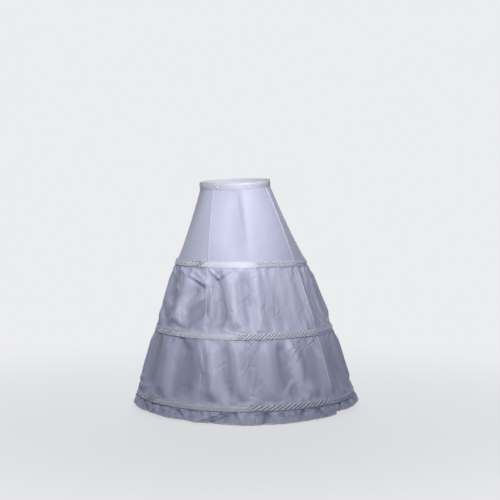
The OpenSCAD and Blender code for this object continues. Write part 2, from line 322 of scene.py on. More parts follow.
def apply_modifiers(piece):
    """Turns the evaluated piece into a plain mesh and removes its modifiers."""
    graph = bpy.context.evaluated_depsgraph_get()
    made = bpy.data.meshes.new_from_object(piece.evaluated_get(graph), depsgraph=graph)
    old = piece.data
    piece.modifiers.clear()
    piece.data = made
    name = old.name
    bpy.data.meshes.remove(old)
    made.name = name


def cloth_piece(name, points, material, thickness=CLOTH_T, closed=False, hollow=0.0, crumple=0.3):
    """A piece of cloth with a wall. hollow (painted shade and painted light) and crumple are given for each
    point, or one value for all.
    """
    piece = add_object(name, grid_mesh(name, points, closed))
    piece.data.materials.append(material)
    for label, values in (("hollow", hollow), ("crumple", crumple)):
        mask = piece.data.attributes.new(label, "FLOAT", "POINT")
        values = np.broadcast_to(values, points.shape[:2]).reshape(-1)
        mask.data.foreach_set("value", values.astype(np.float32))
    wall = piece.modifiers.new("wall", "SOLIDIFY")
    wall.thickness = thickness
    wall.offset = -1
    wall.use_even_offset = False
    apply_modifiers(piece)
    print(name, len(piece.data.polygons), "faces")
    return piece


def smooth(x):
    """Rises softly from 0 to 1."""
    x = np.clip(x, 0, 1)
    return x * x * (3 - 2 * x)


def bell(x, half_width):
    """1 at 0, falling off softly on both sides."""
    return np.exp(-(x / half_width) ** 2)


def zone(angle, start, stop, fade):
    """1 between two angles in degrees, fading out over fade degrees on both sides."""
    degrees = np.degrees(angle)
    return smooth((degrees - start) / fade + 0.5) * smooth((stop - degrees) / fade + 0.5)


def soft_noise(rng, shape, size):
    """Smooth random waves of about unit height over a grid, with size = (rows, columns) of one wave."""
    noise = rng.normal(size=shape)
    down = np.fft.fftfreq(shape[0])[:, None] * size[0]
    along = np.fft.rfftfreq(shape[1])[None, :] * size[1]
    noise = np.fft.irfft2(np.fft.rfft2(noise) * np.exp(-(down ** 2 + along ** 2) * 3), s=shape)
    return noise / noise.std()


# %% [markdown]
# ## Finishes
# Taffeta is a plain weave of fine, bright threads. Close up it shows a tiny grid, and from a step away a
# soft sheen with faint slubs and handling creases. The weave and the creases are two shader groups, and
# each cloth material uses them with its own values. The groups read the UV map, which is in metres, so a
# thread is the same size everywhere.

# %% Shader groups for cloth
WEAVE_THREAD = 0.45 * MM
SLUB_SCALE = (18, 900, 1)
CREASE_TURN = (0, 0, 0.35)
CREASE_STRETCH = (1.25, 0.75, 1)
CREASE_EDGE = 0.16
CREASE_PATCH = (0.42, 0.66)


def new_group(name, measure, outputs):
    """A shader group that takes a vector and one measure and gives values."""
    group = bpy.data.node_groups.new(name, "ShaderNodeTree")
    group.interface.new_socket("Vector", in_out="INPUT", socket_type="NodeSocketVector")
    group.interface.new_socket(measure, in_out="INPUT", socket_type="NodeSocketFloat")
    for label in outputs:
        group.interface.new_socket(label, in_out="OUTPUT", socket_type="NodeSocketFloat")
    return group, add_node(group, "NodeGroupInput").outputs


def noise_node(tree, vector, scale, detail, output="Fac"):
    """The result of one noise texture."""
    inputs = {"Vector": vector, "Scale": scale, "Detail": detail}
    return add_node(tree, "ShaderNodeTexNoise", inputs).outputs[output]


def make_weave_group():
    """Plain weave: threads cross over and under on a square grid, with slubs where a thread is thicker."""
    group, ins = new_group("plain weave", "Thread", ["Height", "Slub"])
    split = add_node(group, "ShaderNodeSeparateXYZ", {0: ins["Vector"]}).outputs
    turns = math_node(group, "DIVIDE", math.pi, ins["Thread"])
    warp = math_node(group, "SINE", math_node(group, "MULTIPLY", split["X"], turns))
    weft = math_node(group, "SINE", math_node(group, "MULTIPLY", split["Y"], turns))
    stretch = add_node(group, "ShaderNodeMapping", {"Vector": ins["Vector"], "Scale": SLUB_SCALE})
    add_node(group, "NodeGroupOutput", {
        "Height": math_node(group, "MULTIPLY", warp, weft),
        "Slub": noise_node(group, stretch.outputs[0], 1, 2),
    })
    return group


def make_crease_group():
    """Handling creases: patches of sharp, shallow lines drawn out along the drop, and a soft mottle."""
    group, ins = new_group("handling creases", "Size", ["Height", "Mottle"])
    drawn_out = add_node(group, "ShaderNodeMapping", {
        "Vector": ins["Vector"], "Rotation": CREASE_TURN, "Scale": CREASE_STRETCH})
    scale = math_node(group, "DIVIDE", 1, ins["Size"])
    spread = add_node(group, "ShaderNodeVectorMath", {0: drawn_out.outputs["Vector"], "Scale": scale},
                      operation="SCALE").outputs[0]
    bent = noise_node(group, spread, 0.7, 2, "Color")
    warped = add_node(group, "ShaderNodeVectorMath", {0: spread, 1: bent}, operation="ADD").outputs[0]
    cells = add_node(group, "ShaderNodeTexVoronoi", {"Vector": warped, "Scale": 1},
                     feature="DISTANCE_TO_EDGE")
    line = smooth_step(group, cells.outputs["Distance"], 0.0, CREASE_EDGE)
    patch = smooth_step(group, noise_node(group, spread, 0.45, 1), *CREASE_PATCH)
    add_node(group, "NodeGroupOutput", {
        "Height": math_node(group, "MULTIPLY", line, patch),
        "Mottle": noise_node(group, spread, 1.6, 3),
    })
    return group


weave_group = make_weave_group()
crease_group = make_crease_group()
print("shader groups", weave_group.name, "and", crease_group.name)

# %% [markdown]
# Two finishes are made with one function: the taffeta itself, and the brighter doubled cloth of the casings,
# the waistband and the seams, whose colour is raised further as painted light for the light the casings
# catch. Two attributes of the mesh steer them. Above 0, hollow is painted shade: it darkens the depth of a
# crease, where light hardly gets in. Below 0 it is painted light, which pales a swath where a fold catches
# the lamp. Crumple says how strongly the handling creases show.

# %% Cloth materials
# Painted shade for creases and gaps, and painted light for swaths where folds catch the lamp.
PAINTED_SHADE_COLOUR = (0.09, 0.10, 0.17, 1)
PAINTED_LIGHT_COLOUR = (0.845, 0.86, 0.995, 1)
MOTTLE_SHARE = 0.7
THREAD_DEPTH = 0.02 * MM


def attribute(tree, name):
    """A value that the mesh carries under this name."""
    return add_node(tree, "ShaderNodeAttribute", attribute_name=name).outputs["Fac"]


def cloth_material(name, shade, light, roughness, crease_size, crease_depth):
    """A taffeta finish: its tone comes from the mottle, painted shade and painted light, and weave and
    creases are bump.
    """
    material, tree, surface = node_material(name)
    metres = add_node(tree, "ShaderNodeUVMap", uv_map="cloth_metres").outputs["UV"]
    weave = add_node(tree, "ShaderNodeGroup", node_tree=weave_group)
    set_inputs(tree, weave, {"Vector": metres, "Thread": WEAVE_THREAD})
    creases = add_node(tree, "ShaderNodeGroup", node_tree=crease_group)
    set_inputs(tree, creases, {"Vector": metres, "Size": crease_size})

    mottle = math_node(tree, "MULTIPLY", creases.outputs["Mottle"], MOTTLE_SHARE)
    slubs = math_node(tree, "MULTIPLY", weave.outputs["Slub"], 1 - MOTTLE_SHARE)
    tone = mix_colours(tree, math_node(tree, "ADD", mottle, slubs), (*shade, 1), (*light, 1))
    hollow = attribute(tree, "hollow")
    # Painted shade: above 0 the hollow attribute darkens the colour.
    darker = mix_colours(tree, hollow, tone, PAINTED_SHADE_COLOUR)
    # Painted light: below 0 it pales the colour.
    paler = mix_colours(tree, math_node(tree, "MULTIPLY", hollow, -1), darker, PAINTED_LIGHT_COLOUR)
    gloss = add_node(tree, "ShaderNodeMapRange", {
        "Value": weave.outputs["Slub"], "To Min": roughness - 0.07, "To Max": roughness + 0.09})

    crumpled = math_node(tree, "MULTIPLY", creases.outputs["Height"], attribute(tree, "crumple"))
    fold_bump = add_node(tree, "ShaderNodeBump", {"Height": crumpled, "Distance": crease_depth})
    thread_bump = add_node(tree, "ShaderNodeBump", {
        "Height": weave.outputs["Height"], "Distance": THREAD_DEPTH, "Normal": fold_bump.outputs["Normal"]})
    set_inputs(tree, surface, {
        "Base Color": paler, "Roughness": gloss.outputs["Result"], "Normal": thread_bump.outputs["Normal"],
        "Sheen Weight": 0.12, "Sheen Roughness": 0.35, "Specular IOR Level": 0.5,
    })
    return material


taffeta = cloth_material("white taffeta", shade=(0.62, 0.632, 0.805), light=(0.75, 0.762, 0.91),
                         roughness=0.5, crease_size=0.055, crease_depth=2.0 * MM)
# Painted light: the doubled cloth is paler for being doubled, and paler still for the light the casings
# catch.
tape = cloth_material("doubled taffeta with painted light", shade=(0.86, 0.872, 0.965), light=(0.92, 0.928, 0.975),
                      roughness=0.4, crease_size=0.03, crease_depth=0.8 * MM)
print("cloth materials", taffeta.name, "and", tape.name)

# %% [markdown]
# ## Gores
# Each gore runs from the waist to the lowest hoop, and the hoops divide it into three tiers. The upper
# tier carries the weight below it and hangs almost smooth, drawn a little flat between its seams. The two
# lower tiers were cut wider than the hoops and gathered onto them, so they fall into folds that end in
# puckers at the casings. A tier is held at its two hoops and its side seams, so the front half and the
# back half of each tier can be hung by itself. Two seams don't hang quite straight. The centre-front seam
# leaves the waist to the right and crosses over on its way down, and the left side seam is drawn a few
# degrees forwards.

# %% The taut skirt
HALF_COLUMNS = 200
UPPER_ROWS = 26
SLACK_ROWS = 46
BAND_ROWS = 4
GORE_FACE = -0.8 * MM
GORE_WAIST_OUT = 1.9 * MM
WAIST_TUCK = 5 * MM
FRONT_SKEW = np.radians([-9.5, 5, 8, 10])
SIDE_SKEW = np.radians([-3, -3, -4, -6])
SIDE_REACH = QUARTER / 2


def half_angles(start):
    """The angles of the columns across half the skirt."""
    return np.linspace(start, start + 2 * QUARTER, HALF_COLUMNS + 1)[None, :]


def on_ring(ring, angle):
    """Where a column of cloth meets the waist (ring 0) or a hoop: columns near a skewed seam follow it."""
    near_front = np.clip(1 - np.abs(angle) / QUARTER, 0, 1)
    near_side = np.clip(1 - np.abs(angle - QUARTER) / SIDE_REACH, 0, 1)
    return angle + FRONT_SKEW[ring] * near_front + SIDE_SKEW[ring] * near_side


def tier_point(tier, angle, down):
    """A point of the taut skirt: down runs from 0 at the tier's top ring to 1 at its hoop."""
    if tier == UPPER:
        top = waist_point(on_ring(0, angle), GORE_WAIST_OUT, -WAISTBAND_H / 2)
    else:
        top = band_point(tier - 1, on_ring(tier, angle), GORE_FACE, CASING_H / 2)
    foot = band_point(tier, on_ring(tier + 1, angle), GORE_FACE, -CASING_H / 2)
    return top + (foot - top) * np.asarray(down)[..., None]


def tier_angle(tier, angle, down):
    """The true angle of each point of a tier's grid."""
    return on_ring(tier, angle) * (1 - down) + on_ring(tier + 1, angle) * down


taut = tier_point(MIDDLE, half_angles(-QUARTER), np.linspace(0, 1, SLACK_ROWS)[:, None])
print("middle tier's front half is", run_lengths(taut, 1)[:, -1].round(3)[[0, -1]], "m wide")

# %% [markdown]
# The main folds are the construction's own, at the same angles, and start about a third higher, as loose
# cloth does. Each is given by its angle at the tier's top and at its foot, its half width in degrees and
# its share of the tier's fold height. Those on the front are placed one by one. Round the back, ridges
# and hollows take turns, drift a little to one side on their way down, and grow from almost nothing
# beside the side seams.

# %% Main folds
FOLD_HEIGHT = {MIDDLE: 10 * MM, LOWER: 12 * MM}
FRONT_FOLDS = {
    MIDDLE: [
        (-80, -74, 6, 0.7), (-66, -62, 6, -0.7), (-50, -42, 6, 0.8), (-34, -30, 6, -0.6), (-12, -20, 6, 0.8),
        (14, 20, 5, -1.1), (25, 31, 5, 1), (36, 40, 5, -0.75), (47, 45, 5, 0.6), (63, 65, 8, -0.35),
    ],
    LOWER: [
        (-78, -76, 6, 0.6), (-64, -60, 6, -0.7), (-48, -44, 6, 0.7), (-33, -29, 6, -0.7), (-17, -14, 6, 0.7),
        (-4, 0, 7, -1), (14, 18, 5, 1), (23, 26, 4, -0.8), (29, 33, 4, 0.7), (48, 48, 5, 0.6),
        (56, 60, 5, -1), (63, 72, 5, 1),
    ],
}
BACK_FOLDS = 16
BACK_DRIFT = 4
BACK_CALM = 40


def back_folds(tier):
    """The folds round the back of one tier."""
    folds = []
    for j in range(BACK_FOLDS):
        at = 90 + 180 * (j + 0.5) / BACK_FOLDS
        drift = BACK_DRIFT * math.sin(math.radians(100 * (j + tier)))
        calm = float(smooth(min(at - 90, 270 - at) / BACK_CALM))
        folds.append((at, at + drift, 90 / BACK_FOLDS, calm if j % 2 else -calm))
    return folds


def main_height(folds, degrees, down):
    """How far the main folds stand out, as a share of the tier's fold height."""
    height = 0 * degrees
    for top, foot, half_width, share in folds:
        height += share * bell(degrees - top - (foot - top) * down, half_width)
    return height


print("main folds on the front", {tier: len(folds) for tier, folds in FRONT_FOLDS.items()})

# %% [markdown]
# Smaller folds lie over the main ones: slanting leaves and a V under the upper casing, where the front
# was gathered by hand, and a few loose creases. Each is a line from one place to another, given as the
# angle and the share of the drop at both ends, with its half width and its height in millimetres. The
# back gets short ones from a fixed seed. A few swaths are painted paler, as painted light where the
# folds catch the lamp. They are lines of the same kind, with a strength in place of the height.

# %% Small folds
FRONT_CREASES = {
    MIDDLE: [
        (-46, 0.04, -24, 0.36, 10, 5), (-26, 0.04, 6, 0.25, 9, 7), (-16, 0.1, 4, 0.33, 9, -6),
        (-9, 0.04, 10, 0.26, 8, 5), (-3, 0.37, -34, 0.62, 14, -6), (2, 0.47, -24, 0.85, 18, 6),
        (-44, 0.66, -30, 0.95, 14, -5), (4, 0.72, -8, 0.97, 12, -4), (8, 0.03, 15, 0.15, 7, 6),
        (15, 0.15, 26, 0.03, 7, 7), (46, 0.55, 43, 0.96, 16, 4),
    ],
    LOWER: [
        (-60, 0.92, -40, 0.78, 9, 4), (-50, 0.97, -30, 0.88, 8, 4), (6, 0.12, 11, 0.5, 9, 3),
        (18, 0.55, 15, 0.95, 9, 3), (38, 0.3, 36, 0.8, 10, -3), (51, 0.92, 63, 0.66, 9, 2),
    ],
}
# Swaths of painted light, where the folds catch the lamp.
PAINTED_LIGHT_SWATHS = {
    MIDDLE: [
        (-35, 0.56, -6, 0.38, 18, 0.35), (-8, 0.42, -15, 0.88, 24, 0.5), (22, 0.2, 33, 0.98, 19, 0.75),
        (42, 0.64, 43, 0.98, 20, 0.6), (67, 0.12, 71, 0.9, 48, 0.4), (101, 0.1, 103, 0.9, 48, 0.4),
    ],
    LOWER: [
        (12, 0.02, 23, 0.98, 24, 0.85), (27, 0.1, 37, 0.95, 17, 0.55), (61, 0.04, 65, 0.5, 14, 0.85),
        (64, 0.4, 69, 0.95, 27, 0.85), (78, 0.04, 83, 0.3, 12, 0.6), (52, 0.95, 61, 0.66, 8, 0.5),
    ],
}


def short_creases(rng):
    """Slanting creases under and over the casings of the back."""
    creases = []
    for at in np.arange(98, 262, 11):
        from_down, to_down = (0.04, 0.3) if rng.uniform() < 0.6 else (0.96, 0.75)
        slant = rng.uniform(5, 14) * rng.choice([-1, 1])
        creases.append((at, from_down, at + slant, to_down, rng.uniform(6, 9), rng.uniform(2, 4)))
    return creases


def crease_height(creases, degrees, down, radius, drop):
    """How far creases stand out of the cloth, in metres, at each place of a grid."""
    across = np.radians(degrees) * radius
    fall = down * drop
    height = np.zeros(np.broadcast_shapes(across.shape, fall.shape))
    for from_angle, from_down, to_angle, to_down, half_width, peak in creases:
        start = np.array([math.radians(from_angle) * radius, from_down * drop])
        run = np.array([math.radians(to_angle) * radius, to_down * drop]) - start
        share = np.clip(((across - start[0]) * run[0] + (fall - start[1]) * run[1]) / (run @ run), 0, 1)
        gap = np.hypot(across - start[0] - share * run[0], fall - start[1] - share * run[1])
        height += peak * MM * bell(gap, half_width * MM)
    return height


def painted_light_in_swaths(swaths, degrees, down, radius, drop):
    """Painted light in the swaths: from 0 beside a swath to its strength inside, with a soft edge."""
    cover = np.zeros(np.broadcast_shapes(degrees.shape, down.shape))
    for swath in swaths:
        inside = crease_height([(*swath[:5], 1)], degrees, down, radius, drop) / MM
        cover = np.maximum(cover, swath[5] * smooth((inside - 0.1) / 0.75))
    return cover


print("creases on the front", {tier: len(creases) for tier, creases in FRONT_CREASES.items()})

# %% [markdown]
# Then Blender's cloth takes over. The flat pattern goes in as the rest shape: it is hardly shorter than
# the space it hangs in, and wider by a spare share that is largest at the casings, where the cloth is
# gathered. Pinned rows and columns stay where they are. Two dozen frames let the spare width find its
# folds, and the result is read back as an array.

# %% Cloth
CLOTH_FRAMES = 24
CLOTH_SETTINGS = {
    "vertex_group_mass": "held", "quality": 6, "mass": 0.1, "air_damping": 5,
    "tension_stiffness": 40, "compression_stiffness": 10, "shear_stiffness": 2, "bending_stiffness": 40,
    "tension_damping": 10, "compression_damping": 10, "shear_damping": 5, "bending_damping": 0.5,
}
GRAVITY_SHARE = 0.3
PATTERN_DROP = 0.999
SPARE_WIDTH = {MIDDLE: 0.04, LOWER: 0.038}
GATHERED_WIDTH = 0.085
GATHER_REACH = 0.15
SEAM_REACH = math.radians(8)
SIDE_STAND = 7 * MM
FOLD_END = 0.22
FOLD_GAIN = 1.35
# How dark the painted shade in the fold valleys is.
FOLD_SHADE = 0.34
CREASE_RADIUS_LESS = 40 * MM
RUMPLE_MM = 0.8
RUMPLE_SIZE = (12, 6)
PUCKER_MM = 2.0
PUCKER_SIZE = (20, 4)


def hang_cloth(name, start_points, flat_points, pinned):
    """Lets a grid of cloth settle from start_points, with the lengths of flat_points."""
    mesh = grid_mesh(name, start_points)
    piece = add_object(name, mesh)
    piece.shape_key_add(name="hung")
    pattern = piece.shape_key_add(name="flat pattern")
    pattern.data.foreach_set("co", flat_points.reshape(-1).astype(np.float32))
    held = piece.vertex_groups.new(name="held")
    held.add(np.flatnonzero(pinned.reshape(-1)).tolist(), 1.0, "REPLACE")
    cloth = piece.modifiers.new("cloth", "CLOTH")
    for setting, value in CLOTH_SETTINGS.items():
        setattr(cloth.settings, setting, value)
    cloth.settings.rest_shape_key = pattern
    cloth.settings.effector_weights.gravity = GRAVITY_SHARE
    cloth.collision_settings.use_collision = False
    cloth.collision_settings.use_self_collision = False
    cloth.point_cache.frame_start = 1
    cloth.point_cache.frame_end = CLOTH_FRAMES
    for step in range(1, CLOTH_FRAMES + 1):
        scene.frame_set(step)
    settled = piece.evaluated_get(bpy.context.evaluated_depsgraph_get())
    points = np.zeros(start_points.size, np.float32)
    settled.data.vertices.foreach_get("co", points)
    scene.frame_set(1)
    bpy.data.objects.remove(piece)
    bpy.data.meshes.remove(mesh)
    return points.reshape(start_points.shape).astype(float)


def with_hollow(points, hollow):
    """Points with a fourth value beside x, y and z: painted shade above 0 and painted light below 0, from -1
    to 1.
    """
    hollow = np.broadcast_to(hollow, points.shape[:2])
    return np.concatenate([points, hollow[..., None]], -1)


def slack_tier(name, tier, start, folds, creases, swaths, spare_share, seed):
    """One half of a slack tier, hung between its hoops and side seams."""
    rng = np.random.default_rng(seed)
    angle = half_angles(start)
    down = np.linspace(0, 1, SLACK_ROWS)[:, None]
    taut = tier_point(tier, angle, down)
    true_angle = tier_angle(tier, angle, down)
    degrees = np.degrees(true_angle)
    drop = run_lengths(taut, 0)
    near_hoop = bell(down, GATHER_REACH) + bell(1 - down, GATHER_REACH)
    free = smooth(np.minimum(angle - start, start + 2 * QUARTER - angle) / SEAM_REACH)
    clear = smooth(np.minimum(down, 1 - down) / FOLD_END)
    lift = FOLD_GAIN * FOLD_HEIGHT[tier] * main_height(folds, degrees, down) * clear
    ends = smooth(4 * np.minimum(down, 1 - down) / GATHER_REACH)
    radius = HOOP_R[tier] - CREASE_RADIUS_LESS
    lift = lift + crease_height(creases, degrees, down, radius, drop[-1].mean()) * ends
    lift = lift + soft_noise(rng, lift.shape, RUMPLE_SIZE) * RUMPLE_MM * MM * ends
    lift = lift + soft_noise(rng, lift.shape, PUCKER_SIZE) * PUCKER_MM * MM * near_hoop * ends
    lift = lift * free + SIDE_STAND * (1 - free) * clear
    started = taut + outward(true_angle) * lift[..., None]

    spare = SPARE_WIDTH[tier] + (GATHERED_WIDTH - SPARE_WIDTH[tier]) * near_hoop
    across = np.linalg.norm(np.diff(taut, axis=1), axis=-1) * (1 + spare * spare_share(angle[:, 1:]))
    flat = np.zeros_like(taut)
    flat[:, 1:, 0] = np.cumsum(across, axis=1)
    flat[:, :, 0] -= flat[:, -1:, 0] / 2
    flat[:, :, 1] = -drop * PATTERN_DROP
    pinned = np.zeros(taut.shape[:2], bool)
    pinned[[0, -1]] = True
    pinned[:, [0, -1]] = True
    points = hang_cloth(name, started, flat, pinned)
    depth = ((points - taut) * outward(true_angle)).sum(-1)
    print(name, "folds from", (depth.min() / MM).round(1), "to", (depth.max() / MM).round(1), "mm")
    # Painted shade darkens the fold valleys, and the swaths get painted light.
    shade = FOLD_SHADE * smooth(-depth / FOLD_HEIGHT[tier])
    return with_hollow(points, shade - painted_light_in_swaths(swaths, degrees, down, radius, drop[-1].mean()))


def front_spare(angle):
    """Share of the spare width round the middle tier's front, which hangs smoothest at the left side."""
    return 1 - 0.8 * zone(angle, start=44, stop=88, fade=16)


def even_spare(angle):
    """The same spare width at every angle."""
    return 1 + 0 * angle


def lower_front_spare(angle):
    """The same for the lower tier, which hangs smoothest at the right."""
    return 1 - 0.7 * zone(angle, start=-70, stop=8, fade=12)


half_tiers = {}
for tier, spare_share in ((MIDDLE, front_spare), (LOWER, lower_front_spare)):
    half_tiers["front", tier] = slack_tier(
        f"front tier {tier}", tier, -QUARTER, FRONT_FOLDS[tier], FRONT_CREASES[tier], PAINTED_LIGHT_SWATHS[tier],
        spare_share, seed=40 + tier)
    half_tiers["back", tier] = slack_tier(
        f"back tier {tier}", tier, QUARTER, back_folds(tier), short_creases(np.random.default_rng(50 + tier)),
        PAINTED_LIGHT_SWATHS[tier], even_spare, seed=50 + tier)

# %% [markdown]
# The upper tier is drawn tight, so its shape is given directly: the seams stand out as soft corners, and
# the cloth between them lies flatter than the round of the hoop, with one soft hollow running down each
# gore. A hollow is given by its angle at the top and at the foot, its half widths before and after it,
# its height and how dark its painted shade is. Two rows have no height and are painted lighter instead,
# as painted light. The rows of all tiers and bands then follow one another down the skirt, and each half
# is cut into its two gores at the middle seam.

# %% Gores from waist to hem
FLATTEN = 14 * MM
SEAM_STAND = 0.5
# The last value of each row is painted shade, or painted light where it is below 0.
HOLLOWS = {
    "front": [(29, 37, 13, 6, -8, 0.24), (-42, -50, 9, 9, -3, 0), (-26, -30, 26, 17, 0, -0.85)],
    "back": [(130, 136, 9, 9, -3, 0.2), (228, 220, 9, 9, -3.2, 0.2), (102, 105, 14, 16, 0, -0.55)],
}


def upper_tier(half, start):
    """The tight upper tier: flattened between the seams, a soft hollow down each gore, with painted shade and
    light.
    """
    angle = half_angles(start)
    down = np.linspace(0, 1, UPPER_ROWS)[:, None]
    true_angle = tier_angle(UPPER, angle, down)
    degrees = np.degrees(true_angle)
    between_seams = np.abs(np.sin(2 * (angle - start)))
    sag = FLATTEN * (SEAM_STAND - between_seams) * np.sin(math.pi * down) ** 0.7
    shade = 0 * sag
    for top, foot, before, after, height, dark in HOLLOWS[half]:
        off = degrees - top - (foot - top) * down
        hollow = bell(off, np.where(off < 0, before, after)) * np.sin(math.pi * down) ** 0.6
        sag = sag + height * MM * hollow
        # Painted shade in the hollows, and painted light in the rows below 0.
        shade = shade + dark * hollow
    return with_hollow(tier_point(UPPER, angle, down) + outward(true_angle) * sag[..., None], shade)


def band_rows(hoop, angle):
    """The rows of the gores that lie behind a casing."""
    down = (np.linspace(0, 1, BAND_ROWS + 1)[1:-1, None] - 0.5) * CASING_H
    return with_hollow(band_point(hoop, on_ring(hoop + 1, angle), GORE_FACE, down), 0)


def half_skirt(half, start):
    """All rows of half the skirt, from the waist to the lower edge."""
    angle = half_angles(start)
    return np.concatenate([
        with_hollow(waist_point(on_ring(0, angle), GORE_WAIST_OUT, WAIST_TUCK - WAISTBAND_H / 2), 0),
        upper_tier(half, start),
        band_rows(UPPER, angle),
        half_tiers[half, MIDDLE],
        band_rows(MIDDLE, angle),
        half_tiers[half, LOWER],
        band_rows(LOWER, angle),
        with_hollow(band_point(LOWER, on_ring(LOWER + 1, angle), GORE_FACE, CASING_H / 2), 0),
    ])


def refine(points, count, axis):
    """A smooth curve through the points along one axis, read at count places."""
    points = np.moveaxis(points, axis, 0)
    last = len(points) - 1
    place = np.linspace(0, last, count)
    i = np.minimum(place.astype(int), last - 1)
    t = (place - i)[:, None, None]
    before, here = points[np.maximum(i - 1, 0)], points[i]
    after, beyond = points[i + 1], points[np.minimum(i + 2, last)]
    bend = (2 * before - 5 * here + 4 * after - beyond) * t ** 2
    turn = (3 * here - before - 3 * after + beyond) * t ** 3
    curve = here + 0.5 * ((after - before) * t + bend + turn)
    return np.moveaxis(curve, 0, axis)


FINE_ROWS = 165
FINE_COLUMNS = 131
MIDDLE_COLUMN = HALF_COLUMNS // 2

gores = {}
gore_hollows = {}
for half, start, first, second in (("front", -QUARTER, "front_right", "front_left"),
                                   ("back", QUARTER, "back_left", "back_right")):
    whole = half_skirt(half, start)
    for side, cut in ((first, whole[:, :MIDDLE_COLUMN + 1]), (second, whole[:, MIDDLE_COLUMN:])):
        fine = refine(refine(cut, FINE_ROWS, 0), FINE_COLUMNS, 1)
        gores[side] = fine[..., :3]
        gore_hollows[side] = np.clip(fine[..., 3], -1, 1)

crumple = np.concatenate([
    np.full(UPPER_ROWS + BAND_ROWS, 0.12),
    np.linspace(1, 0.6, SLACK_ROWS + BAND_ROWS - 1),
    np.linspace(1, 0.5, SLACK_ROWS + BAND_ROWS),
])
crumple = np.interp(np.linspace(0, 1, FINE_ROWS), np.linspace(0, 1, len(crumple)), crumple)[:, None]
for side, points in gores.items():
    piece = cloth_piece(side + "_gore_cloth", points, taffeta, hollow=gore_hollows[side], crumple=crumple)
    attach(piece, "root")
    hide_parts(side + "_gore")

# %% [markdown]
# ## Ruched casings
# A casing is a strip of tape sewn down along both edges, with the steel between. On the front the tape
# was drawn up along the steel. Towards the wearer's left it lies in slanting strands like a rope, and
# towards the right it is almost flat, with small puckers along both rows of stitching. Behind the side
# seams it lies smooth, and only the steel shows as a narrow ridge. The strip's grid has more rows near
# its edges, where the puckers are. Each row of the plan gives the angle where the strands begin, their
# pitch and slant, and the angle from which the flat part lies calm, and how calm it is.

# %% Ruching
CASING_STEP = 1.3 * MM
SMOOTH_STEP = 4 * MM
TAPE_T = 0.6 * MM
TAPE_EDGE = 0.5 * MM
ARCH = 4.6 * MM
STEEL_RIDGE = 2.6 * MM
STITCH_ROW = 3
CASING_ROWS = 19
SMALL_PITCH = 13 * MM
LARGE_PITCH = 26 * MM
ROPE_FADE = 6
CALM_FADE = 14
RIPPLE = 0.15 * MM
spread = np.linspace(-1, 1, CASING_ROWS)[:, None]
CASING_DOWN = CASING_H / 2 * (1.3 * spread - 0.3 * spread ** 3)
STITCH_DOWN = CASING_DOWN[-1 - STITCH_ROW, 0]
on_steel = bell(CASING_DOWN, 4.5 * MM)
at_stitches = bell(np.abs(CASING_DOWN) - STITCH_DOWN, 2.2 * MM)


def ridge_field(rng, along, pitch, jitter, fullness):
    """Ridges of a ruched strip: height from 0 in a crease to 1 on a ridge, and the number of the ridge."""
    length = along.max() - along.min() + 4 * pitch
    pitches = pitch * (1 + jitter * rng.uniform(-1, 1, int(2 * length / pitch)))
    starts = along.min() - 2 * pitch + np.cumsum(pitches)
    phase = np.interp(along, starts, np.arange(len(starts)))
    number = np.floor(phase).astype(int)
    inside = 2 * (phase - number) - 1
    return 1 - np.abs(inside) ** fullness, number


def rope_height(rng, along, pitch, slant):
    """Slanting strands, each lying over the next: height in metres, and painted shade in the gaps from 0 to
    1.
    """
    strand, number = ridge_field(rng, along + slant * CASING_DOWN, pitch, jitter=0.15, fullness=2.4)
    full = rng.uniform(0.8, 1.1, number.max() + 1)[number]
    arch = np.clip(1 - (CASING_DOWN / (CASING_H / 2)) ** 4, 0, 1)
    return ARCH * arch * (0.05 + 0.95 * strand * full), smooth((0.85 - strand) / 0.7) * arch ** 0.5


def pucker_height(rng, along, calm):
    """A flat strip over the steel, with small uneven puckers at its stitching and slight ones between."""
    small, number = ridge_field(rng, along + 0.5 * CASING_DOWN, SMALL_PITCH, jitter=0.6, fullness=2.0)
    small = small * rng.uniform(0.2, 1.1, number.max() + 1)[number]
    large, number = ridge_field(rng, along + 1.2 * CASING_DOWN, LARGE_PITCH, jitter=0.6, fullness=2.0)
    large = large * rng.uniform(0.0, 1.0, number.max() + 1)[number]
    loose = 1 - calm
    height = STEEL_RIDGE * 0.5 * on_steel + loose * MM * (3.0 * small * at_stitches + 2.6 * large)
    # Painted shade in the gaps between the puckers.
    gaps = smooth((0.45 - small) / 0.4) * at_stitches + 0.7 * smooth((0.25 - large) / 0.3) * (1 - at_stitches)
    return height, loose * np.clip(gaps, 0, 1)


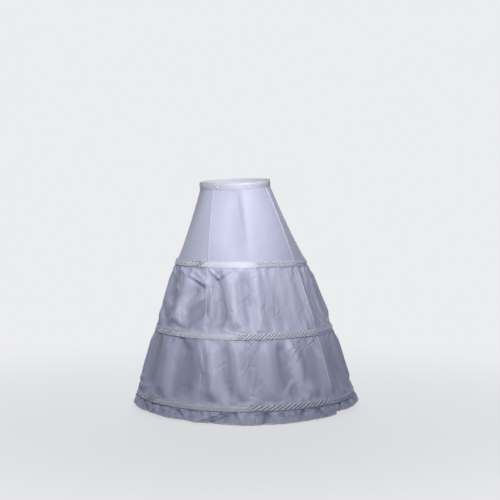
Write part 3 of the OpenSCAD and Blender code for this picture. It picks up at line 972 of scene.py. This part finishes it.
casing_plan = [
    ("upper", UPPER, 44, 12 * MM, 1.25, 4, 0.85),
    ("middle", MIDDLE, 27, 13.5 * MM, 1.25, -5, 0.6),
    ("lower", LOWER, 33, 21 * MM, 1.7, -8, 0.75),
]
casings = {}
casing_hollows = {}
for level, hoop, rope_from, pitch, slant, calm_from, calm in casing_plan:
    rng = np.random.default_rng(60 + hoop)
    left_seam = on_ring(hoop + 1, QUARTER)
    angle = np.linspace(-QUARTER, left_seam, int(2 * QUARTER * HOOP_R[hoop] / CASING_STEP))[None, :]
    along = angle * HOOP_R[hoop]
    rope, rope_gaps = rope_height(rng, along, pitch, slant)
    pucker, pucker_gaps = pucker_height(rng, along, calm * zone(angle, calm_from, rope_from + 4, CALM_FADE))
    share = smooth((np.degrees(angle) - rope_from) / ROPE_FADE)
    out = TAPE_EDGE + share * rope + (1 - share) * pucker
    casings[level + "_front"] = band_point(hoop, angle, out, CASING_DOWN)
    # The gaps between strands and puckers get painted shade.
    casing_hollows[level + "_front"] = share * rope_gaps + (1 - share) * pucker_gaps
    angle = np.linspace(left_seam, 3 * QUARTER, int(2 * QUARTER * HOOP_R[hoop] / SMOOTH_STEP))[None, :]
    ripple = RIPPLE * soft_noise(rng, (CASING_ROWS, angle.shape[1]), size=(8, 10))
    out = TAPE_EDGE + STEEL_RIDGE * on_steel + ripple
    casings[level + "_back"] = band_point(hoop, angle, out, CASING_DOWN)
    casing_hollows[level + "_back"] = 0 * ripple
for place, points in casings.items():
    finish = tape if "front" in place else taffeta
    piece = cloth_piece(place + "_casing_tape", points, finish, TAPE_T, hollow=casing_hollows[place])
    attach(piece, "root")
    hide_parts(place + "_casing")

# %% [markdown]
# ## Waistband
# One strip is folded over the elastic and sewn to the gores. A narrow header stands above the elastic.
# The elastic draws the strip up in slanting creases, which are deep at the sides and back and almost gone
# at the left front. It is made as one grid that runs up the outside, over the fold and down the inside.

# %% Waistband
WAIST_COLUMNS = 540
WAIST_ROWS = 15
# How dark the painted shade in the waistband's creases is.
WAIST_SHADE = 0.9
WAIST_OUT = 3.0 * MM
WAIST_FOLD = 1.6 * MM
WAIST_GATHER = 2.4 * MM
WAIST_STITCH_UP = 3.2 * MM
HEADER_DOWN = 4.6 * MM


def waistband_grid(rng):
    """Points of the strip: rows up the outer face, over the fold and down the inner face."""
    angle = np.linspace(0, 2 * math.pi, WAIST_COLUMNS, endpoint=False)[None, :]
    half = WAISTBAND_H / 2
    turn = np.linspace(0, math.pi, 7)[1:-1]
    rise = np.linspace(-half, half - WAIST_FOLD / 2, WAIST_ROWS)
    inside = rise[::-2]
    up = np.concatenate([rise, half - WAIST_FOLD / 2 * (1 - np.sin(turn)), inside])[:, None]
    share = np.concatenate([np.ones(WAIST_ROWS), 0.5 + 0.5 * np.cos(turn), np.zeros(len(inside))])[:, None]
    degrees = (np.degrees(angle) + 180) % 360 - 180
    strength = 1 - 0.8 * bell(degrees - 30, 24)
    slanted = angle * MEAN_WAIST_R + 1.2 * up
    ridges, number = ridge_field(rng, slanted, pitch=15 * MM, jitter=0.4, fullness=2.2)
    lift = rng.uniform(0.4, 1.0, number.max() + 1)[number]
    join = smooth(np.minimum(angle, 2 * math.pi - angle) * MEAN_WAIST_R / (6 * MM))
    foot_seam = bell(up + half - WAIST_STITCH_UP, 1.5 * MM)
    header_seam = bell(up - half + HEADER_DOWN, 1.3 * MM)
    sewn = 1 - 0.8 * np.maximum(foot_seam, header_seam)
    gather = ridges * lift * strength * join * sewn * share
    full = np.clip((half - up) / (2 * HEADER_DOWN), 0, 1) ** 0.5
    out = share * (WAIST_FOLD + (WAIST_OUT - WAIST_FOLD) * full * sewn) + WAIST_GATHER * gather
    lean = 1.0 * MM * (ridges - 0.5) * strength * join * share * bell(up + half, 3 * MM)
    # Painted shade in the creases between the gathers.
    gaps = smooth((0.6 - ridges) / 0.5) * strength * join * share * sewn
    return waist_point(angle, out, up + lean), up[:, 0], gaps


waistband, waist_up, waist_gaps = waistband_grid(np.random.default_rng(80))
piece = cloth_piece("waistband_strip", waistband[::-1], tape, closed=True,
                    hollow=WAIST_SHADE * waist_gaps[::-1])
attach(piece, "root")
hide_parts("waistband")

# %% [markdown]
# ## Flounce
# The flounce is two strips sewn behind the lowest casing, the front one lapping over the back one at the
# sides. It flares a little and its hem waves. The waves are a sum of a few sines of different length, so
# no two are alike, and they grow from nothing at the seam to their full depth at the hem. A few short
# folds lie over them.

# %% Flounces
FLOUNCE_STEP = 4.5 * MM
FLOUNCE_ROWS = 17
FLOUNCE_FACE = -2.4 * MM
FLOUNCE_TOP = 2 * MM
FLOUNCE_DROP = 60 * MM
# How dark the painted shade in the flounce's hollows is, and how pale the painted light on its ridges.
FLOUNCE_SHADE = 0.5
FLOUNCE_RELIEF = 5 * MM
SEAM_SHARE = 0.2
LAP = math.radians(3)
LEFT_LAP = QUARTER - math.radians(8)
HEM_DIP_AT = math.radians(40)
HEM_DIP_REACH = math.radians(38)
HEM_WAVES = ((9, 1.6), (17, 2.6), (26, 1.5), (41, 0.5))
FLOUNCE_FOLDS = [
    (-70, 0.3, -64, 1, 9, 5), (-58, 0.2, -52, 0.8, 8, -5), (-44, 0.25, -38, 1, 8, 5),
    (-30, 0.3, -24, 0.9, 7, -4), (-16, 0.25, -20, 0.9, 8, 5), (-4, 0.25, 2, 0.7, 6, -5),
    (9, 1.0, 21, 0.35, 5, 7), (17, 1.0, 25, 0.5, 5, -5), (31, 0.3, 33, 0.9, 8, 4),
    (46, 0.3, 43, 1, 8, -4), (57, 0.3, 60, 0.9, 9, 4), (73, 0.3, 77, 1, 9, -5),
]


def hem_wave(angle, rng):
    """Waves of the hem, in metres, as a function of the angle alone, so that both strips can lap."""
    wave = np.zeros_like(angle)
    for count, height in HEM_WAVES:
        wave += height * MM * np.sin(count * angle + rng.uniform(0, 2 * math.pi))
    return wave


def flounce_grid(start, stop, folds, sink, raised):
    """A strip of the flounce. Its ends lie sink deeper than its middle, with the hem raised there."""
    angle = np.linspace(start, stop, int((stop - start) * HEM_R / FLOUNCE_STEP))[None, :]
    down = np.linspace(0, 1, FLOUNCE_ROWS)[:, None]
    fall = np.clip((down - SEAM_SHARE) / (1 - SEAM_SHARE), 0, 1)
    wave = hem_wave(angle, np.random.default_rng(90))
    ripple = hem_wave(angle * 2.3, np.random.default_rng(91))
    end = np.minimum(angle - start, stop - angle)
    depth = sink * (1 - smooth((end - LAP) / (4 * LAP)))
    lift = raised * (1 - smooth(end / (QUARTER / 2))) + 0.3 * np.abs(ripple)
    top = band_point(LOWER, angle, FLOUNCE_FACE - depth, FLOUNCE_TOP)
    foot = band_point(LOWER, angle, FLOUNCE_FACE - depth, CASING_H / 2 + 2 * MM)
    dip = HEM_DIP * bell(angle - HEM_DIP_AT, HEM_DIP_REACH)
    hem = ring_point(HEM_R + wave - depth, angle, HOOP_BACK[LOWER], 1.2 * MM - HEM_DROP - dip)
    hem = hem + (foot - hem) * (lift / (foot[..., 2] - hem[..., 2]))[..., None]
    sewn = top + (foot - top) * np.clip(down / SEAM_SHARE, 0, 1)[..., None]
    hung = foot + (hem - foot) * fall[..., None]
    points = np.where(down[..., None] < SEAM_SHARE, sewn, hung)
    bulge = crease_height(folds, np.degrees(angle), down, HEM_R, FLOUNCE_DROP) * smooth(3 * fall)
    bulge = bulge + 0.7 * ripple * np.sin(math.pi * fall) ** 0.5
    pucker = soft_noise(np.random.default_rng(93), bulge.shape, size=(10, 3))
    bulge = bulge + 2.2 * MM * pucker * bell(fall - 0.2, 0.35) * smooth(5 * fall)
    bulge = bulge * smooth(end / LAP)
    # Painted shade in the hollows of the folds, and painted light on their ridges.
    shade = FLOUNCE_SHADE * np.clip(-bulge / FLOUNCE_RELIEF, -1, 1)
    return with_hollow(points + outward(np.broadcast_to(angle, bulge.shape)) * bulge[..., None], shade)


def back_flounce_folds(rng):
    """Ridges and hollows that take turns round the back of the flounce."""
    folds = []
    for i, at in enumerate(np.arange(102, 262, 13)):
        folds.append((at, 0.3, at + rng.uniform(-6, 6), 1, rng.uniform(7, 10), (4, -4)[i % 2]))
    return folds


loose_folds = back_flounce_folds(np.random.default_rng(92))
flounces = {
    "front": flounce_grid(-QUARTER - LAP, LEFT_LAP + LAP, FLOUNCE_FOLDS, sink=0, raised=0),
    "back": flounce_grid(LEFT_LAP, 3 * QUARTER, loose_folds, sink=1.6 * MM, raised=7 * MM),
}
flounce_hollows = {place: points[..., 3] for place, points in flounces.items()}
flounces = {place: points[..., :3] for place, points in flounces.items()}
for place, points in flounces.items():
    piece = cloth_piece(place + "_flounce_cloth", points, taffeta, hollow=flounce_hollows[place], crumple=0.9)
    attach(piece, "root")
    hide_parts(place + "_flounce")

# %% [markdown]
# ## Seams
# The gores are joined by felled seams, where both edges are folded together and sewn flat. Each shows as
# a narrow, slightly raised strip from the waist to the lowest hoop, which dips under the casings. The
# strip takes its place from the gores on both sides, so it follows every fold that crosses it.

# %% Seam strips
SEAM_HALF = 3 * MM
SEAM_RISE = 0.9 * MM
SEAM_SINK = -0.5 * MM
SEAM_T = 0.4 * MM
SEAM_COLUMNS = 7
SEAM_STITCH_COLUMN = 5
tier_rows = [np.ones(UPPER_ROWS), np.ones(SLACK_ROWS), np.ones(SLACK_ROWS)]
hidden = np.zeros(BAND_ROWS - 1)
in_sight = np.concatenate([[0], tier_rows[0], hidden, tier_rows[1], hidden, tier_rows[2], hidden, [0]])
in_sight = np.interp(np.linspace(0, len(in_sight) - 1, FINE_ROWS), np.arange(len(in_sight)), in_sight)


def unit(vectors):
    """The vectors, each made one long."""
    return vectors / np.linalg.norm(vectors, axis=-1, keepdims=True)


def seam_strip(before, after, rng):
    """The raised strip over the line where two gores meet."""
    middle = after[:, 0]
    to_left = unit(before[:, -2] - middle)
    to_right = unit(after[:, 1] - middle)
    out = unit(np.cross(np.gradient(middle, axis=0), to_right - to_left))
    pucker = soft_noise(rng, (FINE_ROWS, 1), size=(6, 1))[:, 0]
    rise = SEAM_SINK + smooth(in_sight) * (SEAM_RISE - SEAM_SINK + 0.15 * MM * pucker)
    columns = []
    for s in np.linspace(-1, 1, SEAM_COLUMNS):
        side = to_right if s > 0 else to_left
        height = SEAM_SINK + (rise - SEAM_SINK) * (1 - 0.5 * s ** 4)
        columns.append(middle + side * abs(s) * SEAM_HALF + out * height[:, None])
    return np.stack(columns, 1)


seams = {}
seam_plan = [("centre_front", "front_right", "front_left"), ("left_side", "front_left", "back_left"),
             ("centre_back", "back_left", "back_right"), ("right_side", "back_right", "front_right")]
for number, (place, before, after) in enumerate(seam_plan):
    seams[place] = seam_strip(gores[before], gores[after], np.random.default_rng(100 + number))
    piece = cloth_piece(place + "_seam", seams[place], tape if "side" in place else taffeta, SEAM_T)
    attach(piece, "root")

# %% [markdown]
# ## Rolled hem
# The flounce's edge is rolled up tightly and overlocked. The roll is a tube with an oval section along
# the flounce's last row. Its first and last rings shrink almost to a point, and a small face closes each.

# %% Hem roll
HEM_ROLL_H = 1.9 * MM
HEM_ROLL_W = 1.1 * MM
HEM_ROLL_FACES = 8
HEM_ROLL_UP = 0.9 * MM
HEM_ROLL_TIP = 0.02
HEM_STITCH_SIDE = 2
HEM_STITCH_TRIM = 2


def hem_roll(points):
    """A tube along the last row of a strip of cloth: one row for each place, one column for each side."""
    path = points[-1]
    fall = unit(path - points[-2])
    out = unit(np.cross(fall, np.gradient(path, axis=0)))
    size = np.ones(len(path))
    size[[0, -1]] = HEM_ROLL_TIP
    rings = []
    for turn in np.linspace(0, 2 * math.pi, HEM_ROLL_FACES, endpoint=False):
        place = fall * (HEM_ROLL_H * math.cos(turn) - HEM_ROLL_UP) + out * HEM_ROLL_W * math.sin(turn)
        rings.append(path + place * size[:, None])
    return np.stack(rings, 1)


def close_ends(mesh):
    """Fills the open rings at both ends of a tube."""
    tube = bmesh.new()
    tube.from_mesh(mesh)
    bmesh.ops.holes_fill(tube, edges=[edge for edge in tube.edges if edge.is_boundary])
    bmesh.ops.recalc_face_normals(tube, faces=tube.faces)
    tube.to_mesh(mesh)
    tube.free()


hem_paths = []
for place, points in flounces.items():
    rings = hem_roll(points)
    mesh = grid_mesh(place + "_hem_roll", rings, closed=True)
    close_ends(mesh)
    mesh.materials.append(tape)
    piece = add_object(place + "_hem_roll", mesh)
    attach(piece, "root")
    hem_paths.append(rings[HEM_STITCH_TRIM:-HEM_STITCH_TRIM, HEM_STITCH_SIDE])
    print(piece.name, len(mesh.polygons), "faces")

# %% [markdown]
# ## Stitches
# Every row of sewing is made by one Geometry Nodes tree. It takes lines laid on the cloth, walks along
# them in equal steps and puts a short rounded stitch at each step, turned along the line. A slant turns
# the stitch upwards, as an overlocker does. The same tree sews the casings, the waistband, the seams and
# the hem, each with its own values.

# %% Stitch tree
STITCH_INPUTS = {
    "Lines": "Geometry", "Pitch": "Float", "Length": "Float", "Thickness": "Float", "Slant": "Float",
    "Thread": "Material",
}
LEAST_STITCH = 0.85
LARGEST_STITCH = 1.1


def stitch_tree():
    """The tree that lays stitches along lines."""
    tree = bpy.data.node_groups.new("stitches along lines", "GeometryNodeTree")
    for label, kind in STITCH_INPUTS.items():
        tree.interface.new_socket(label, in_out="INPUT", socket_type="NodeSocket" + kind)
    tree.interface.new_socket("Stitches", in_out="OUTPUT", socket_type="NodeSocketGeometry")
    ins = add_node(tree, "NodeGroupInput").outputs

    curve = add_node(tree, "GeometryNodeMeshToCurve", {"Mesh": ins["Lines"]}).outputs["Curve"]
    steps = add_node(tree, "GeometryNodeCurveToPoints", {"Curve": curve, "Length": ins["Pitch"]},
                     mode="LENGTH").outputs
    upward = add_node(tree, "ShaderNodeCombineXYZ", {"Z": ins["Slant"]}).outputs["Vector"]
    heading = add_node(tree, "ShaderNodeVectorMath", {0: steps["Tangent"], 1: upward},
                       operation="ADD").outputs["Vector"]
    turn = add_node(tree, "FunctionNodeAlignRotationToVector", {"Vector": heading}, axis="X").outputs

    ball = add_node(tree, "GeometryNodeMeshUVSphere", {"Segments": 5, "Rings": 4, "Radius": 1}).outputs
    half_length = math_node(tree, "DIVIDE", ins["Length"], 2)
    size = add_node(tree, "ShaderNodeCombineXYZ", {
        "X": half_length, "Y": ins["Thickness"], "Z": ins["Thickness"]}).outputs["Vector"]
    stitch = add_node(tree, "GeometryNodeTransform", {"Geometry": ball["Mesh"], "Scale": size}).outputs

    vary = add_node(tree, "FunctionNodeRandomValue", {2: LEAST_STITCH, 3: LARGEST_STITCH, "Seed": 7},
                    data_type="FLOAT").outputs
    place = add_node(tree, "GeometryNodeInstanceOnPoints", {
        "Points": steps["Points"], "Instance": stitch["Geometry"], "Rotation": turn["Rotation"],
        "Scale": vary[1]}).outputs
    real = add_node(tree, "GeometryNodeRealizeInstances", {"Geometry": place["Instances"]}).outputs
    sewn = add_node(tree, "GeometryNodeSetMaterial", {
        "Geometry": real["Geometry"], "Material": ins["Thread"]}).outputs
    add_node(tree, "NodeGroupOutput", {"Stitches": sewn["Geometry"]})
    return tree


stitches = stitch_tree()
print("stitch tree with", len(stitches.nodes), "nodes")

# %% [markdown]
# The thread is bright and a little glossy, with a fine twist that reads as a bump. Each set of lines
# becomes a mesh of edges, the tree runs on it once, and the result is kept as a plain mesh.

# %% Sewing
CASING_STITCH_RISE = 0.15 * MM
SEAM_STITCH_RISE = 0.1 * MM
AXIS_BACK = HOOP_BACK[MIDDLE] * 0.7

thread, tree, surface = node_material("white thread")
place = add_node(tree, "ShaderNodeTexCoord").outputs["Object"]
twist = add_node(tree, "ShaderNodeTexWave", {"Vector": place, "Scale": 900}, bands_direction="DIAGONAL")
twist_bump = add_node(tree, "ShaderNodeBump", {"Height": twist.outputs["Fac"], "Distance": 0.05 * MM})
set_inputs(tree, surface, {
    "Base Color": (0.86, 0.865, 0.92, 1), "Roughness": 0.45, "Normal": twist_bump.outputs["Normal"]})


def sew(name, lines, pitch, length, thickness, slant=0.0):
    """Makes stitches along lines of points, as one plain mesh."""
    counts = np.cumsum([0] + [len(line) for line in lines])
    edges = [(i, i + 1) for a, b in zip(counts, counts[1:]) for i in range(a, b - 1)]
    mesh = bpy.data.meshes.new(name)
    mesh.from_pydata(np.concatenate(lines).tolist(), edges, [])
    piece = add_object(name, mesh)
    sewing = piece.modifiers.new("sewing", "NODES")
    sewing.node_group = stitches
    values = {"Pitch": pitch, "Length": length, "Thickness": thickness, "Slant": slant, "Thread": thread}
    for item in stitches.interface.items_tree:
        if item.in_out == "INPUT" and item.name in values:
            sewing[item.identifier] = values[item.name]
    apply_modifiers(piece)
    piece.data.shade_smooth()
    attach(piece, "root")
    print(name, len(piece.data.polygons), "faces")


def lifted(line, height):
    """A line of points moved straight out from the skirt's axis."""
    away = line * [1, 1, 0] - [0, AXIS_BACK, 0]
    return line + unit(away) * height


casing_lines = []
for points in casings.values():
    for row in (STITCH_ROW, CASING_ROWS - 1 - STITCH_ROW):
        casing_lines.append(lifted(points[row], CASING_STITCH_RISE))
outer_up = waist_up[:WAIST_ROWS]
foot_row = np.argmin(np.abs(outer_up + WAISTBAND_H / 2 - WAIST_STITCH_UP))
header_row = np.argmin(np.abs(outer_up - WAISTBAND_H / 2 + HEADER_DOWN))
waist_lines = [lifted(waistband[row], CASING_STITCH_RISE) for row in (foot_row, header_row)]
shown = in_sight > 0.9
breaks = np.flatnonzero(np.diff(shown.astype(int))) + 1
seam_lines = []
for points in seams.values():
    for run, seen in zip(np.split(points[:, SEAM_STITCH_COLUMN], breaks), np.split(shown, breaks)):
        if seen[0]:
            seam_lines.append(lifted(run, SEAM_STITCH_RISE))
hem_lines = [lifted(line, SEAM_STITCH_RISE) for line in hem_paths]

sew("casing_stitches", casing_lines, pitch=3.6 * MM, length=2.8 * MM, thickness=0.36 * MM)
sew("waistband_stitches", waist_lines, pitch=3.4 * MM, length=2.6 * MM, thickness=0.34 * MM)
sew("seam_stitches", seam_lines, pitch=3.6 * MM, length=2.7 * MM, thickness=0.3 * MM)
sew("hem_overlock", hem_lines, pitch=2.6 * MM, length=4.0 * MM, thickness=0.32 * MM, slant=1.2)

# %% [markdown]
# ## Steels and elastic
# The steels, their joiners and the elastic stay the construction's own solids, because nothing soft
# changes them. They only get a finish: a smooth nylon coat, crimped steel with fine scratches, and the
# cross ribs of braided elastic. They lie hidden in the casings and the waistband, and are finished all
# the same, so that the skirt can be taken apart.

# %% Hidden pieces
def hidden_finish(name, colour, roughness, metal, grain, depth):
    """A plain finish with a fine noise in Object coordinates as its bump."""
    material, tree, surface = node_material(name)
    place = add_node(tree, "ShaderNodeTexCoord").outputs["Object"]
    stretch = add_node(tree, "ShaderNodeMapping", {"Vector": place, "Scale": grain}).outputs[0]
    bump = add_node(tree, "ShaderNodeBump", {"Height": noise_node(tree, stretch, 1, 2), "Distance": depth})
    set_inputs(tree, surface, {
        "Base Color": (*colour, 1), "Roughness": roughness, "Metallic": metal,
        "Normal": bump.outputs["Normal"]})
    return material


nylon = hidden_finish("nylon coat", (0.86, 0.86, 0.86), roughness=0.35, metal=0, grain=(120, 120, 120),
                      depth=0.05 * MM)
crimped = hidden_finish("crimped steel", (0.45, 0.46, 0.48), roughness=0.35, metal=1, grain=(300, 300, 3000),
                        depth=0.03 * MM)
braid = hidden_finish("braided elastic", (0.78, 0.78, 0.79), roughness=0.8, metal=0, grain=(200, 200, 1500),
                      depth=0.2 * MM)
finishes = {"waist_elastic": braid}
for level in ("upper", "middle", "lower"):
    finishes[level + "_hoop"] = nylon
    finishes[level + "_joiner"] = crimped
for node, material in finishes.items():
    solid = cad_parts[node]
    solid.data.materials.clear()
    solid.data.materials.append(material)
print("finishes on", len(finishes), "solids")

# %% [markdown]
# ## The cloth as it was cut
# The size each sheet was cut to is printed, measured along the cloth, over its ridges and folds. A gore
# is cut as a long wedge, so its area is printed too. The casings, the waistband and the flounce are plain
# strips.

# %% Sheets
def cut_size(points):
    """Length and width of a strip, measured along the cloth."""
    return (run_lengths(points, 1)[:, -1].max(), run_lengths(points, 0)[-1].max())


def area_of(points):
    """Area of a grid of cloth, in square metres."""
    across = np.diff(points, axis=1)[:-1]
    fall = np.diff(points, axis=0)[:, :-1]
    return float(np.linalg.norm(np.cross(across, fall), axis=-1).sum())


for side, points in gores.items():
    print(side, "gore cut", np.round(cut_size(points), 3), "m, area", round(area_of(points), 3))
for place, points in casings.items():
    hoop = place.split("_")[0] + "_hoop"
    print(place, "casing cut", np.round(cut_size(points), 3), "m")
print("waistband cut", np.round(cut_size(waistband), 3), "m")
for place, points in flounces.items():
    print(place, "flounce cut", np.round(cut_size(points), 3), "m")
